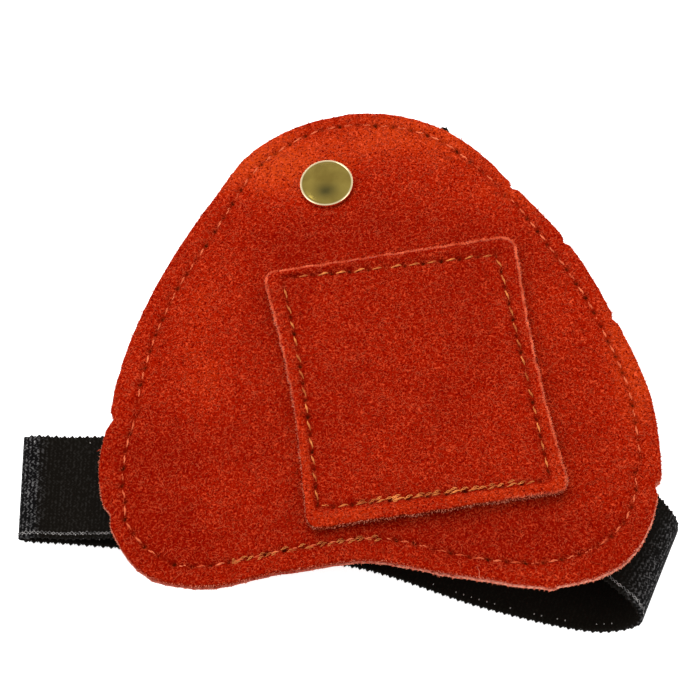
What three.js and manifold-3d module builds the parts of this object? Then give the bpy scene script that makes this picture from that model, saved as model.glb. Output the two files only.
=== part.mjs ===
// A suede hand pad for archery, lying on a table. Two layers of suede are sewn together round the edge,
// a square suede patch is sewn on the front, a brass snap is set near the top, and a wide elastic strap
// and a narrow finger loop are sewn to the back. Millimetres, +Z up, the table at z = 0. +X is the pad's
// right and +Y is its top.

import * as THREE from 'three';
import { mergeVertices } from 'three/addons/utils/BufferGeometryUtils.js';
import Module from 'manifold-3d';

const wasm = await Module();
wasm.setup();

// The two suede layers of the pad
const PAD_WIDTH = 106;
const PAD_LENGTH = 100;
const LAYER = 1.0;
const LAYER_GAP = 0.3;
const DOME_RISE = 4.0;
const SEAM_INSET = 3.6;
const SEAM_DIP = 0.3;

// How the pad lies: its middle above the table, its top edge down and its right side up, in degrees
const PAD_HEIGHT = 11.3;
const PAD_PITCH = 6;
const PAD_ROLL = 4;

// The patch, turned on the pad, with its rim standing up past its seam
const PATCH_WIDTH = 47.3;
const PATCH_LENGTH = 52.0;
const PATCH_THICK = 1.4;
const PATCH_TURN = 9.7;
const PATCH_CORNER = 2.4;
const PATCH_SEAM_INSET = 3.2;
const PATCH_RIM_LIFT = 0.5;
const PATCH_PLACE = { across: 0.125, along: -0.174 };

// The snap: a domed cap on a post, and the disc at the back that the post is set in
const CAP_DIAMETER = 10.2;
const CAP_EDGE = 0.9;
const CAP_DOME = 0.7;
const POST_DIAMETER = 3;
const DISC_DIAMETER = 9;
const DISC_THICK = 1.2;
const SNAP_PLACE = { across: -0.186, along: 0.688 };

// The two elastics
const STRAP_WIDTH = 19.2;
const STRAP_THICK = 1.3;
const LOOP_WIDTH = 10;
const LOOP_THICK = 1.0;

// The space left between pieces that touch
const CLEARANCE = 0.3;

// How finely round and bent pieces are faceted
const EDGE_STEPS = 96;
const PATCH_SIDE_STEPS = 9;
const PATCH_CORNER_STEPS = 4;
const STRAP_STEPS = { along: 96, across: 4 };
const LOOP_STEPS = { along: 40, across: 3 };
const CAP_SIDES = 32;
const DISC_SIDES = 24;
const HOLE_SIDES = 16;

// How far from a snip the even steps of the edge stop, counted in the snip's spread, the step that an
// elastic's slope is measured over, as a share of its way, and the passes that find the pad's back
const SNIP_MARGIN = 1.2;
const SLOPE_STEP = 0.002;
const BACK_PASSES = 4;

// The pad's edge: its reach from the middle at each bearing, as a share of half the width across and
// half the length along
const EDGE = [
  { bearing: 0, reach: 0.88 },
  { bearing: 14, reach: 0.818 },
  { bearing: 35, reach: 0.796 },
  { bearing: 53, reach: 0.824 },
  { bearing: 66, reach: 0.901 },
  { bearing: 80, reach: 0.986 },
  { bearing: 96, reach: 1.027 },
  { bearing: 116, reach: 0.992 },
  { bearing: 133, reach: 0.888 },
  { bearing: 152, reach: 0.848 },
  { bearing: 172, reach: 0.88 },
  { bearing: 193, reach: 0.984 },
  { bearing: 204, reach: 1.091 },
  { bearing: 214, reach: 1.16 },
  { bearing: 226, reach: 1.204 },
  { bearing: 236, reach: 1.128 },
  { bearing: 249, reach: 0.958 },
  { bearing: 268, reach: 0.863 },
  { bearing: 288, reach: 0.977 },
  { bearing: 303, reach: 1.15 },
  { bearing: 315, reach: 1.217 },
  { bearing: 328, reach: 1.148 },
  { bearing: 341, reach: 1.031 },
];

// Small steps where the shears started again: their depth as a share of half the width, and their
// half length as degrees of bearing
const SNIPS = [
  { bearing: 6.5, depth: 0.014, spread: 1.6 },
  { bearing: 32.2, depth: 0.014, spread: 1.6 },
  { bearing: 53.9, depth: 0.014, spread: 1.6 },
  { bearing: 194.7, depth: 0.02, spread: 2 },
  { bearing: 213.4, depth: 0.018, spread: 2 },
  { bearing: 301.4, depth: -0.012, spread: 1.2 },
  { bearing: 329, depth: 0.02, spread: 1.6 },
];

// Soft dents and rises of the worn suede: where, how wide (shares of half the width and half the
// length) and how deep, as a share of the dome's rise
const DENTS = [
  { across: -0.7, along: -0.38, wide: 0.3, tall: 0.2, depth: 0.24 },
  { across: 0.22, along: -0.8, wide: 0.42, tall: 0.12, depth: 0.18 },
  { across: 0.08, along: 0.58, wide: 0.3, tall: 0.16, depth: 0.1 },
  { across: 0.72, along: -0.12, wide: 0.12, tall: 0.34, depth: 0.1 },
  { across: -0.62, along: -0.82, wide: 0.2, tall: 0.14, depth: -0.12 },
  { across: -0.55, along: 0.3, wide: 0.22, tall: 0.3, depth: -0.1 },
];

// The patch's corners, as shares of half its width and half its length, and how far the side from each
// corner to the next bows out, as a share of its length
const PATCH_CORNERS = [
  { across: 1.015, along: 1.008, bow: -0.007 },
  { across: -1.023, along: 1.054, bow: -0.028 },
  { across: -1.04, along: -0.985, bow: 0.004 },
  { across: 1.04, along: -1.05, bow: -0.022 },
];

// The rings that a flat piece is meshed in, from its middle to its edge: the share of the way out, how
// far in from the edge that way ends, counted in seam insets, and whether the seam runs on the ring
const PAD_RINGS = [
  { share: 0, insets: 1.6, seam: 0 },
  { share: 0.3, insets: 1.6, seam: 0 },
  { share: 0.58, insets: 1.6, seam: 0 },
  { share: 0.82, insets: 1.6, seam: 0 },
  { share: 1, insets: 1.6, seam: 0 },
  { share: 1, insets: 1, seam: 1 },
  { share: 1, insets: 0.4, seam: 0 },
  { share: 1, insets: 0, seam: 0 },
];

// The same for the patch, with how far its rim has lifted
const PATCH_RINGS = [
  { share: 0, insets: 1.6, seam: 0, lift: 0 },
  { share: 0.45, insets: 1.6, seam: 0, lift: 0 },
  { share: 0.8, insets: 1.6, seam: 0, lift: 0 },
  { share: 1, insets: 1.6, seam: 0, lift: 0 },
  { share: 1, insets: 1, seam: 1, lift: 0 },
  { share: 1, insets: 0.4, seam: 0, lift: 0.6 },
  { share: 1, insets: 0, seam: 0, lift: 1 },
];

// The strap's way: the middle of its width as shares of half the pad's width and length, its height as
// a share of the pad's and in plies of its own thickness, the direction of its width and how its far
// edge rises, both in degrees, and how closely it is held to the pad's back
const STRAP_WAY = [
  { across: -0.56, along: -0.53, height: 0.6, plies: 1, turn: 87, rise: 0, held: 1 },
  { across: -0.76, along: -0.52, height: 0.54, plies: 1, turn: 87, rise: 0, held: 1 },
  { across: -0.95, along: -0.505, height: 0.4, plies: 1.3, turn: 87, rise: 0, held: 0.6 },
  { across: -1.12, along: -0.49, height: 0.21, plies: 1.5, turn: 87, rise: 0, held: 0 },
  { across: -1.23, along: -0.48, height: 0.14, plies: 1.5, turn: 88.6, rise: 0, held: 0 },
  { across: -1.267, along: -0.478, height: 0.07, plies: 1, turn: 88.2, rise: 0, held: 0 },
  { across: -1.23, along: -0.479, height: 0, plies: 0.5, turn: 87.8, rise: 0, held: 0 },
  { across: -1.1, along: -0.487, height: 0, plies: 0.5, turn: 84, rise: 0, held: 0 },
  { across: -0.75, along: -0.517, height: 0, plies: 0.5, turn: 84, rise: 0, held: 0 },
  { across: -0.35, along: -0.54, height: 0, plies: 0.5, turn: 80, rise: 0, held: 0 },
  { across: 0, along: -0.596, height: 0, plies: 0.5, turn: 74, rise: 0, held: 0 },
  { across: 0.39, along: -0.737, height: 0, plies: 0.5, turn: 72, rise: 0, held: 0 },
  { across: 0.62, along: -0.804, height: 0, plies: 0.5, turn: 72, rise: 0, held: 0 },
  { across: 0.84, along: -0.86, height: 0.16, plies: 0.5, turn: 72, rise: -8, held: 0 },
  { across: 0.965, along: -0.86, height: 0.48, plies: 0.5, turn: 70, rise: -15, held: 0 },
  { across: 0.965, along: -0.822, height: 0.76, plies: 0.5, turn: 65, rise: -14, held: 0 },
  { across: 0.9, along: -0.757, height: 0.97, plies: 0.5, turn: 57, rise: -10, held: 0 },
  { across: 0.77, along: -0.647, height: 1.14, plies: 0.5, turn: 54, rise: -4, held: 0.5 },
  { across: 0.62, along: -0.55, height: 1.24, plies: 0.5, turn: 54, rise: 0, held: 1 },
  { across: 0.46, along: -0.43, height: 1.24, plies: 0.5, turn: 54, rise: 0, held: 1 },
];

// The finger loop's way, in the same columns, from beyond the snap to the seam at the top right
const LOOP_WAY = [
  { across: -0.3, along: 0.63, height: 0.5, plies: 0, turn: 115, rise: 0, held: 1 },
  { across: -0.186, along: 0.68, height: 0.5, plies: 0, turn: 115, rise: 0, held: 1 },
  { across: -0.1, along: 0.712, height: 0.46, plies: 0, turn: 115, rise: 0, held: 1 },
  { across: -0.065, along: 0.728, height: 0.16, plies: 0.5, turn: 115, rise: 0, held: 0 },
  { across: -0.025, along: 0.745, height: 0, plies: 0.5, turn: 115, rise: 0, held: 0 },
  { across: 0.1, along: 0.795, height: 0, plies: 0.5, turn: 115, rise: 0, held: 0 },
  { across: 0.15, along: 0.82, height: 0.16, plies: 0.5, turn: 115, rise: 0, held: 0 },
  { across: 0.19, along: 0.838, height: 0.42, plies: 0, turn: 115, rise: 0, held: 0.9 },
  { across: 0.287, along: 0.874, height: 0.42, plies: 0, turn: 115, rise: 0, held: 1 },
];

const halfWidth = PAD_WIDTH / 2;
const halfLength = PAD_LENGTH / 2;
const radians = THREE.MathUtils.degToRad;

// The pad's own frame: across, along and up from its middle
const pad = new THREE.Group();
pad.rotation.set(-radians(PAD_PITCH), -radians(PAD_ROLL), 0);
pad.position.set(0, 0, PAD_HEIGHT);
pad.updateMatrixWorld();
const padMiddleSpot = new THREE.Vector2(0, 0);

// The reach of the pad's edge at a bearing, on a smooth curve through the rows of the table
function reachAt(bearing) {
  const after = EDGE.findIndex((row) => row.bearing > bearing);
  const first = (after < 0 ? EDGE.length : after) - 1;
  const row = (step) => {
    const index = first + step;
    const laps = Math.floor(index / EDGE.length);
    const entry = EDGE[index - laps * EDGE.length];
    return new THREE.Vector2(entry.bearing + 360 * laps, entry.reach);
  };
  const [before, from, to, next] = [row(-1), row(0), row(1), row(2)];
  const span = to.x - from.x;
  const slopeIn = ((to.y - before.y) / (to.x - before.x)) * span;
  const slopeOut = ((next.y - from.y) / (next.x - from.x)) * span;
  const curve = new THREE.CubicBezierCurve(
    from,
    new THREE.Vector2(from.x + span / 3, from.y + slopeIn / 3),
    new THREE.Vector2(to.x - span / 3, to.y - slopeOut / 3),
    to,
  );
  return curve.getPoint((bearing - from.x) / span).y;
}

// A point of the pad's edge at a bearing, with the snips cut in
function padEdge(bearing) {
  let reach = reachAt(bearing);
  for (const snip of SNIPS) {
    const off = Math.abs(bearing - snip.bearing) / snip.spread;
    reach -= snip.depth * Math.max(0, 1 - off);
  }
  const angle = radians(bearing);
  return new THREE.Vector2(reach * halfWidth * Math.cos(angle), reach * halfLength * Math.sin(angle));
}

// The bearings that the pad's edge is made at: even steps, and three more at each snip
function padBearings() {
  const even = Array.from({ length: EDGE_STEPS }, (_, step) => (360 * step) / EDGE_STEPS);
  const clear = even.filter((bearing) => SNIPS.every(
    (snip) => Math.abs(bearing - snip.bearing) > snip.spread * SNIP_MARGIN,
  ));
  const cuts = SNIPS.flatMap((snip) => [-1, 0, 1].map((side) => snip.bearing + side * snip.spread));
  return [...clear, ...cuts].sort((a, b) => a - b);
}

// The height of the middle of the pad's thickness above the pad's own plane
function padMiddle(x, y) {
  const across = x / halfWidth;
  const along = y / halfLength;
  let share = 1 - across * across - along * along;
  for (const dent of DENTS) {
    const off = ((across - dent.across) / dent.wide) ** 2 + ((along - dent.along) / dent.tall) ** 2;
    share -= dent.depth * Math.exp(-off);
  }
  return DOME_RISE * share;
}
const frontTop = (x, y) => padMiddle(x, y) + LAYER_GAP / 2 + LAYER;
const backUnder = (x, y) => padMiddle(x, y) - LAYER_GAP / 2 - LAYER;

// A closed body with its shared vertices merged and its folded triangles left out
function closedBody(geometry) {
  const bare = new THREE.BufferGeometry();
  bare.setAttribute('position', geometry.getAttribute('position'));
  bare.setIndex(geometry.getIndex());
  const merged = mergeVertices(bare, 1e-4);
  const corners = merged.getIndex().array;
  const kept = [];
  for (let first = 0; first < corners.length; first += 3) {
    const [a, b, c] = corners.slice(first, first + 3);
    if (a !== b && b !== c && c !== a) kept.push(a, b, c);
  }
  merged.setIndex(kept);
  merged.computeVertexNormals();
  return merged;
}

// A flat piece with a free outline: a lathe of two faces and the edge between them, whose turns go to
// the points of the outline and whose rings go to the rows of the ring table
function flatPiece({ outline, middle, rings, inset, upper, lower }) {
  const outermost = rings.length - 1;
  const profile = [
    ...rings.map((_, step) => new THREE.Vector2(step, -1)),
    ...rings.map((_, step) => new THREE.Vector2(outermost - step, 1)),
  ];
  const geometry = new THREE.LatheGeometry(profile, outline.length);
  const place = geometry.getAttribute('position');
  for (let index = 0; index < place.count; index += 1) {
    const turn = Math.floor(index / profile.length) % outline.length;
    const step = index % profile.length;
    const under = step <= outermost;
    const ring = rings[under ? step : profile.length - 1 - step];
    const spot = outline[turn].clone().sub(middle);
    spot.setLength(ring.share * (spot.length() - ring.insets * inset)).add(middle);
    const face = under ? lower : upper;
    place.setXYZ(index, spot.x, spot.y, face(spot.x, spot.y, ring));
  }
  return closedBody(geometry);
}

// A closed geometry as a solid that can be cut, and back
function toSolid(geometry) {
  return new wasm.Manifold(new wasm.Mesh({
    numProp: 3,
    vertProperties: new Float32Array(geometry.getAttribute('position').array),
    triVerts: new Uint32Array(geometry.getIndex().array),
  }));
}

function fromSolid(solid) {
  const mesh = solid.getMesh();
  const geometry = new THREE.BufferGeometry();
  geometry.setAttribute('position', new THREE.BufferAttribute(mesh.vertProperties, 3));
  geometry.setIndex(new THREE.BufferAttribute(mesh.triVerts, 1));
  geometry.computeVertexNormals();
  return geometry;
}

// The snap's own frame, square to the pad where it is set
function snapFrame() {
  const x = SNAP_PLACE.across * halfWidth;
  const y = SNAP_PLACE.along * halfLength;
  const reach = CAP_DIAMETER / 2;
  const slopeAcross = (padMiddle(x + reach, y) - padMiddle(x - reach, y)) / CAP_DIAMETER;
  const slopeAlong = (padMiddle(x, y + reach) - padMiddle(x, y - reach)) / CAP_DIAMETER;
  const frame = new THREE.Group();
  frame.position.set(x, y, padMiddle(x, y));
  const out = new THREE.Vector3(-slopeAcross, -slopeAlong, 1).normalize();
  frame.quaternion.setFromUnitVectors(new THREE.Vector3(0, 0, 1), out);
  return frame;
}
const snap = snapFrame();
pad.add(snap);
pad.updateMatrixWorld();

// A turned piece of the snap, from rows of radius and height above the middle of the two layers
function turned(rows, sides) {
  const profile = rows.map(([radius, height]) => new THREE.Vector2(radius, height));
  const lathe = new THREE.LatheGeometry(profile, sides);
  lathe.rotateX(Math.PI / 2);
  return closedBody(lathe);
}

// The hole for the snap's post, through both layers and the finger loop
const postRadius = POST_DIAMETER / 2;
const holeRadius = postRadius + CLEARANCE;
const holeLength = 4 * (LAYER + LAYER_GAP + LOOP_THICK + CLEARANCE);
function postHole(matrix) {
  const bore = new THREE.CylinderGeometry(holeRadius, holeRadius, holeLength, HOLE_SIDES);
  bore.rotateX(Math.PI / 2);
  bore.applyMatrix4(matrix);
  return toSolid(closedBody(bore));
}
const bored = (geometry, matrix) => fromSolid(toSolid(geometry).subtract(postHole(matrix)));

// The two layers, pulled in by their seam all round
const padFlat = {
  outline: padBearings().map(padEdge),
  middle: padMiddleSpot,
  rings: PAD_RINGS,
  inset: SEAM_INSET,
};
const frontBody = flatPiece({
  ...padFlat,
  upper: (x, y, ring) => frontTop(x, y) - SEAM_DIP * ring.seam,
  lower: (x, y) => padMiddle(x, y) + LAYER_GAP / 2,
});
const backBody = flatPiece({
  ...padFlat,
  upper: (x, y) => padMiddle(x, y) - LAYER_GAP / 2,
  lower: (x, y, ring) => backUnder(x, y) + SEAM_DIP * ring.seam,
});

// The patch's outline: four slightly bowed sides between rounded corners, turned on the pad
const patchSpot = new THREE.Vector2(PATCH_PLACE.across * halfWidth, PATCH_PLACE.along * halfLength);
function patchOutline() {
  const outline = [];
  const corners = PATCH_CORNERS.map((corner) => new THREE.Vector2(
    (corner.across * PATCH_WIDTH) / 2,
    (corner.along * PATCH_LENGTH) / 2,
  ));
  const towards = (from, to, run) => to.clone().sub(from).setLength(run).add(from);
  corners.forEach((corner, index) => {
    const before = corners[(index + corners.length - 1) % corners.length];
    const after = corners[(index + 1) % corners.length];
    const round = new THREE.QuadraticBezierCurve(
      towards(corner, before, PATCH_CORNER),
      corner,
      towards(corner, after, PATCH_CORNER),
    );
    outline.push(...round.getPoints(PATCH_CORNER_STEPS));
    const side = corner.distanceTo(after) - 2 * PATCH_CORNER;
    const outwards = after.clone().sub(corner).rotateAround(padMiddleSpot, radians(-90)).normalize();
    for (let step = 1; step < PATCH_SIDE_STEPS; step += 1) {
      const share = step / PATCH_SIDE_STEPS;
      const bow = PATCH_CORNERS[index].bow * side * Math.sin(Math.PI * share);
      outline.push(towards(corner, after, PATCH_CORNER + side * share).addScaledVector(outwards, bow));
    }
  });
  return outline.map((point) => point.rotateAround(padMiddleSpot, radians(PATCH_TURN)).add(patchSpot));
}
const patchUnder = (x, y, ring) => frontTop(x, y) + CLEARANCE + PATCH_RIM_LIFT * ring.lift;
const patchBody = flatPiece({
  outline: patchOutline(),
  middle: patchSpot,
  rings: PATCH_RINGS,
  inset: PATCH_SEAM_INSET,
  upper: (x, y, ring) => patchUnder(x, y, ring) + PATCH_THICK - SEAM_DIP * ring.seam,
  lower: patchUnder,
});

// The height of the pad's back above a point of the table
const toPad = pad.matrixWorld.clone().invert();
function backHeight(x, y) {
  const spot = new THREE.Vector3(x, y, PAD_HEIGHT);
  for (let pass = 0; pass < BACK_PASSES; pass += 1) {
    const found = spot.clone().applyMatrix4(toPad);
    found.z = backUnder(found.x, found.y);
    found.applyMatrix4(pad.matrixWorld);
    spot.set(spot.x + x - found.x, spot.y + y - found.y, found.z);
  }
  return spot.z;
}

// An elastic band along its table of stations. It starts as a flat box, and each corner of the box goes
// to its place: on the band's own way where it is free, and under the pad's back where it is held.
function elastic({ way, width, thick, steps }) {
  const curve = new THREE.CatmullRomCurve3(way.map((row) => new THREE.Vector3(
    row.across * halfWidth,
    row.along * halfLength,
    row.height * PAD_HEIGHT + row.plies * thick,
  )), false, 'centripetal');
  const lie = new THREE.CatmullRomCurve3(way.map((row) => new THREE.Vector3(
    row.turn,
    row.rise,
    row.held,
  )), false, 'catmullrom');
  const middleAt = (run, lane) => {
    const share = THREE.MathUtils.clamp(run, 0, 1);
    const spot = curve.getPoint(share);
    const [turn, rise, held] = lie.getPoint(share).toArray();
    const out = (width / 2) * lane;
    const level = out * Math.cos(radians(rise));
    spot.x += level * Math.cos(radians(turn));
    spot.y += level * Math.sin(radians(turn));
    const highest = backHeight(spot.x, spot.y) - CLEARANCE - thick / 2;
    const free = Math.max(spot.z + out * Math.sin(radians(rise)), thick / 2);
    spot.z = THREE.MathUtils.lerp(Math.min(free, highest), highest, THREE.MathUtils.clamp(held, 0, 1));
    return spot;
  };
  const box = new THREE.BoxGeometry(1, 2, 1, steps.along, steps.across, 1);
  const place = box.getAttribute('position');
  for (let index = 0; index < place.count; index += 1) {
    const run = place.getX(index) + 0.5;
    const lane = place.getY(index);
    const forward = middleAt(run + SLOPE_STEP, lane).sub(middleAt(run - SLOPE_STEP, lane));
    const sideways = middleAt(run, lane + SLOPE_STEP).sub(middleAt(run, lane - SLOPE_STEP));
    const out = forward.cross(sideways).setLength(place.getZ(index) * thick);
    const spot = middleAt(run, lane).add(out);
    place.setXYZ(index, spot.x, spot.y, spot.z);
  }
  return closedBody(box);
}
const strapBody = elastic({ way: STRAP_WAY, width: STRAP_WIDTH, thick: STRAP_THICK, steps: STRAP_STEPS });
const loopBody = elastic({ way: LOOP_WAY, width: LOOP_WIDTH, thick: LOOP_THICK, steps: LOOP_STEPS });

// The snap's cap with its post, and the disc at the back with the pocket for the post
const capRadius = CAP_DIAMETER / 2;
const discRadius = DISC_DIAMETER / 2;
const capUnder = LAYER_GAP / 2 + LAYER + CLEARANCE;
const capShoulder = capUnder + CAP_EDGE;
const discTop = -(LAYER_GAP / 2 + LAYER + CLEARANCE + LOOP_THICK + CLEARANCE);
const pocketFloor = discTop - DISC_THICK / 2;
const capBody = turned([
  [0, pocketFloor + CLEARANCE],
  [postRadius, pocketFloor + CLEARANCE],
  [postRadius, capUnder],
  [capRadius * 0.94, capUnder],
  [capRadius, capUnder + CAP_EDGE * 0.35],
  [capRadius, capUnder + CAP_EDGE * 0.7],
  [capRadius * 0.95, capShoulder],
  [capRadius * 0.7, capShoulder + CAP_DOME * 0.5],
  [capRadius * 0.35, capShoulder + CAP_DOME * 0.88],
  [0, capShoulder + CAP_DOME],
], CAP_SIDES);
const discBody = turned([
  [0, discTop - DISC_THICK],
  [discRadius * 0.9, discTop - DISC_THICK],
  [discRadius, discTop - DISC_THICK * 0.6],
  [discRadius, discTop],
  [holeRadius, discTop],
  [holeRadius, pocketFloor],
  [0, pocketFloor],
], DISC_SIDES);

// Colours and finishes
const finish = (color, roughness, metalness) => new THREE.MeshStandardMaterial({
  color,
  roughness,
  metalness,
});
const suede = () => finish(0xa42711, 0.95, 0);
const brass = () => finish(0xb59a4a, 0.25, 1);
const blackElastic = () => finish(0x151515, 0.85, 0);

// The pieces in their places
function addPiece(parent, name, geometry, material) {
  const mesh = new THREE.Mesh(geometry, material);
  mesh.name = name;
  parent.add(mesh);
}
addPiece(pad, 'front_layer', bored(frontBody, snap.matrix), suede());
addPiece(pad, 'back_layer', bored(backBody, snap.matrix), suede());
addPiece(pad, 'patch', patchBody, suede());
addPiece(snap, 'snap_cap', capBody, brass());
addPiece(snap, 'snap_back', discBody, brass());

const handPad = new THREE.Group();
handPad.add(pad);
addPiece(handPad, 'strap', strapBody, blackElastic());
addPiece(handPad, 'finger_loop', bored(loopBody, snap.matrixWorld), blackElastic());

// The middle of the footprint comes to the origin
const reach = new THREE.Box3().setFromObject(handPad, true);
const reachMiddle = reach.getCenter(new THREE.Vector3());
handPad.position.set(-reachMiddle.x, -reachMiddle.y, -reach.min.z);

export default handPad;
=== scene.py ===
"""The looks of a suede hand pad for archery, lying on a pale table, in the frame of its CAD model.

Lengths are in millimetres up to the point where a finished mesh is put in its place, in metres. The pad
has its own plane: x across it, y along it to the end with the snap, z out of its front.
"""

import math
import random

import bmesh
import bpy
from mathutils import Matrix, Vector, noise
from mathutils.bvhtree import BVHTree


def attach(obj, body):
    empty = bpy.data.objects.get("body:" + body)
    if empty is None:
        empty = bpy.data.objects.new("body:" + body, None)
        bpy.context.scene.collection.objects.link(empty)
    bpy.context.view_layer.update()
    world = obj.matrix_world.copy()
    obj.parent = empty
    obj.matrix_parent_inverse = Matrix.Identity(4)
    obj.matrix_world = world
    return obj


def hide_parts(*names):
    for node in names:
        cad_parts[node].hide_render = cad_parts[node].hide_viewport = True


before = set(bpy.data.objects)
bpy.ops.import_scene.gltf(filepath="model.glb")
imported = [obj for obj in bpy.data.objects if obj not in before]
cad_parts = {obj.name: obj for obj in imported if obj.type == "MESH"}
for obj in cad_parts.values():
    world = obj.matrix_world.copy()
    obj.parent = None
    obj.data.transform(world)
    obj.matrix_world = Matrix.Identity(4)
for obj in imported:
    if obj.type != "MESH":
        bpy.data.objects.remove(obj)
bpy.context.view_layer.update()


# ---- Camera, light and table ---------------------------------------------------------------------
# The pad is seen from its lower end, from well above, through a long lens. A wide soft lamp stands
# behind and above it, a weaker one on each side, and it lies on a plain white table.

MM = 0.001
LOOKED_AT = Vector((0.53, 1.27, 11.49)) * MM
VIEW_DISTANCE = 0.9
VIEW_ELEVATION = math.radians(70)
SENSOR_WIDTH = 36
LENS_LENGTH = 245.3
SKY_STRENGTH = 0.74
TABLE_REACH = 3
TABLE_DROP = 0.0002
TABLE_GLOW = 0.7


def put_in_scene(name, data):
    """A new object in the scene, at the origin."""
    thing = bpy.data.objects.new(name, data)
    bpy.context.scene.collection.objects.link(thing)
    return thing


camera = put_in_scene("camera", bpy.data.cameras.new("camera"))
camera.data.sensor_width = SENSOR_WIDTH
camera.data.lens = LENS_LENGTH
camera.location = LOOKED_AT + VIEW_DISTANCE * Vector(
    (0, -math.cos(VIEW_ELEVATION), math.sin(VIEW_ELEVATION))
)
camera.rotation_euler = (math.radians(90) - VIEW_ELEVATION, 0, 0)
bpy.context.scene.camera = camera
bpy.context.scene.view_settings.view_transform = "Standard"

# Each lamp: its place in metres, its width in metres and its power in watts
LAMPS = {
    "lamp_back": ((-0.25, 0.75, 1.0), 0.9, 11.0),
    "lamp_left": ((-1.0, -0.1, 0.8), 0.8, 5.0),
    "lamp_right": ((1.0, -0.2, 0.8), 0.8, 4.0),
}
for lamp_name, (place, width, power) in LAMPS.items():
    lamp = put_in_scene(lamp_name, bpy.data.lights.new(lamp_name, "AREA"))
    lamp.data.size = width
    lamp.data.energy = power
    lamp.location = place
    lamp.rotation_euler = (-Vector(place)).to_track_quat("-Z", "Y").to_euler()

# The polished snap doesn't mirror the lamp behind
bpy.data.objects["lamp_back"].visible_glossy = False

studio = bpy.data.worlds.new("studio")
studio.use_nodes = True
studio.node_tree.nodes["Background"].inputs["Color"].default_value = (1, 1, 1, 1)
studio.node_tree.nodes["Background"].inputs["Strength"].default_value = SKY_STRENGTH
bpy.context.scene.world = studio


def new_finish(name, colour, roughness, **others):
    """A material with one shader, whose even values are set on the shader itself."""
    finish = bpy.data.materials.new(name)
    finish.use_nodes = True
    shader = finish.node_tree.nodes["Principled BSDF"]
    shader.inputs["Base Color"].default_value = (*colour, 1)
    shader.inputs["Roughness"].default_value = roughness
    for socket, value in others.items():
        shader.inputs[socket.replace("_", " ")].default_value = value
    return finish


def add_piece(name, mesh, place, finish):
    """An object at the origin whose mesh is moved to its place, in metres."""
    mesh.transform(place)
    mesh.materials.clear()
    mesh.materials.append(finish)
    return put_in_scene(name, mesh)


def to_mesh(name, shape):
    """The mesh of a finished bmesh, shaded smooth."""
    for face in shape.faces:
        face.smooth = True
    mesh = bpy.data.meshes.new(name)
    shape.to_mesh(mesh)
    shape.free()
    return mesh


table_shape = bmesh.new()
bmesh.ops.create_grid(table_shape, x_segments=1, y_segments=1, size=TABLE_REACH)
table = add_piece(
    "table",
    to_mesh("table", table_shape),
    Matrix.Translation((0, 0, -TABLE_DROP)),
    new_finish("table_white", (0.9, 0.9, 0.9), 0.9, Specular_IOR_Level=0.1,
               Emission_Color=(1, 1, 1, 1), Emission_Strength=TABLE_GLOW),
)


# ---- Front layer ---------------------------------------------------------------------------------
# The upper of two pieces of orange-red suede, cut to the pad's outline with shears, which left small
# steps. A lockstitch seam near the edge pulls it into a groove and the margin outside stands up a
# little. The cut edge shows the paler core of the leather.

PAD_PLACE = (6.188, 0.741, 11.3)
PAD_PITCH = math.radians(6)
PAD_ROLL = math.radians(4)
HALF_WIDTH = 53
HALF_LENGTH = 50
LAYER = 1.0
LAYER_GAP = 0.3
DOME_RISE = 4.0
STITCH_PITCH = 3.5
SEAM_POINTS = 4000

PAD_LIE = (
    Matrix.Translation(PAD_PLACE)
    @ Matrix.Rotation(-PAD_PITCH, 4, "X")
    @ Matrix.Rotation(-PAD_ROLL, 4, "Y")
)
TO_METRES = Matrix.Scale(MM, 4)
ON_PAD = TO_METRES @ PAD_LIE

# The edge's reach at each bearing, as a share of half the width across and half the length along
EDGE = [
    (0, 0.88), (14, 0.818), (35, 0.796), (53, 0.824), (66, 0.901), (80, 0.986), (96, 1.027),
    (116, 0.992), (133, 0.888), (152, 0.848), (172, 0.88), (193, 0.984), (204, 1.091),
    (214, 1.16), (226, 1.204), (236, 1.128), (249, 0.958), (268, 0.863), (288, 0.977),
    (303, 1.15), (315, 1.217), (328, 1.148), (341, 1.031),
]

# How far the seam runs inside the edge at each bearing, in millimetres
SEAM_INSET = [
    (0, 3.6), (10, 3.15), (22, 3.37), (34, 3.4), (44, 2.85), (54, 2.1), (66, 2.9), (78, 2.6),
    (90, 2.85), (101, 2.4), (113, 3.3), (120, 3.7), (131, 4.1), (144, 4.6), (158, 4.3),
    (170, 4.4), (183, 4.8), (200, 5.5), (208, 4.8), (216, 3.0), (226, 3.9), (232, 3.8),
    (239, 4.9), (248, 4.35), (266, 4.1), (279, 4.6), (290, 4.2), (300, 4.95), (312, 5.1),
    (320, 4.5), (330, 4.25), (341, 4.3), (350, 3.9),
]

# Steps where the shears started again: bearing, depth as a share of half the width, spread in degrees
SNIPS = [
    (6.5, 0.014, 1.6), (32.2, 0.014, 1.6), (53.9, 0.014, 1.6), (194.7, 0.02, 2),
    (213.4, 0.018, 2), (301.4, -0.012, 1.2), (329, 0.02, 1.6),
]

# Soft dents (+) and rises (-): across, along, width and length as shares of half the pad's, and depth
# as a share of the dome's rise
DENTS = [
    (-0.7, -0.38, 0.3, 0.2, 0.24), (0.22, -0.8, 0.42, 0.12, 0.18), (0.08, 0.58, 0.3, 0.16, 0.1),
    (0.72, -0.12, 0.12, 0.34, 0.1), (-0.62, -0.82, 0.2, 0.14, -0.12),
    (-0.55, 0.3, 0.22, 0.3, -0.1),
]


def clamp(value, low=0, high=1):
    return max(low, min(high, value))


def eased(start, slope_in, end, slope_out, part):
    """A value between two, on a smooth curve that leaves and arrives with the slopes given."""
    square, cube = part**2, part**3
    return (
        start * (2 * cube - 3 * square + 1)
        + slope_in * (cube - 2 * square + part)
        + end * (3 * square - 2 * cube)
        + slope_out * (cube - square)
    )


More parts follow.
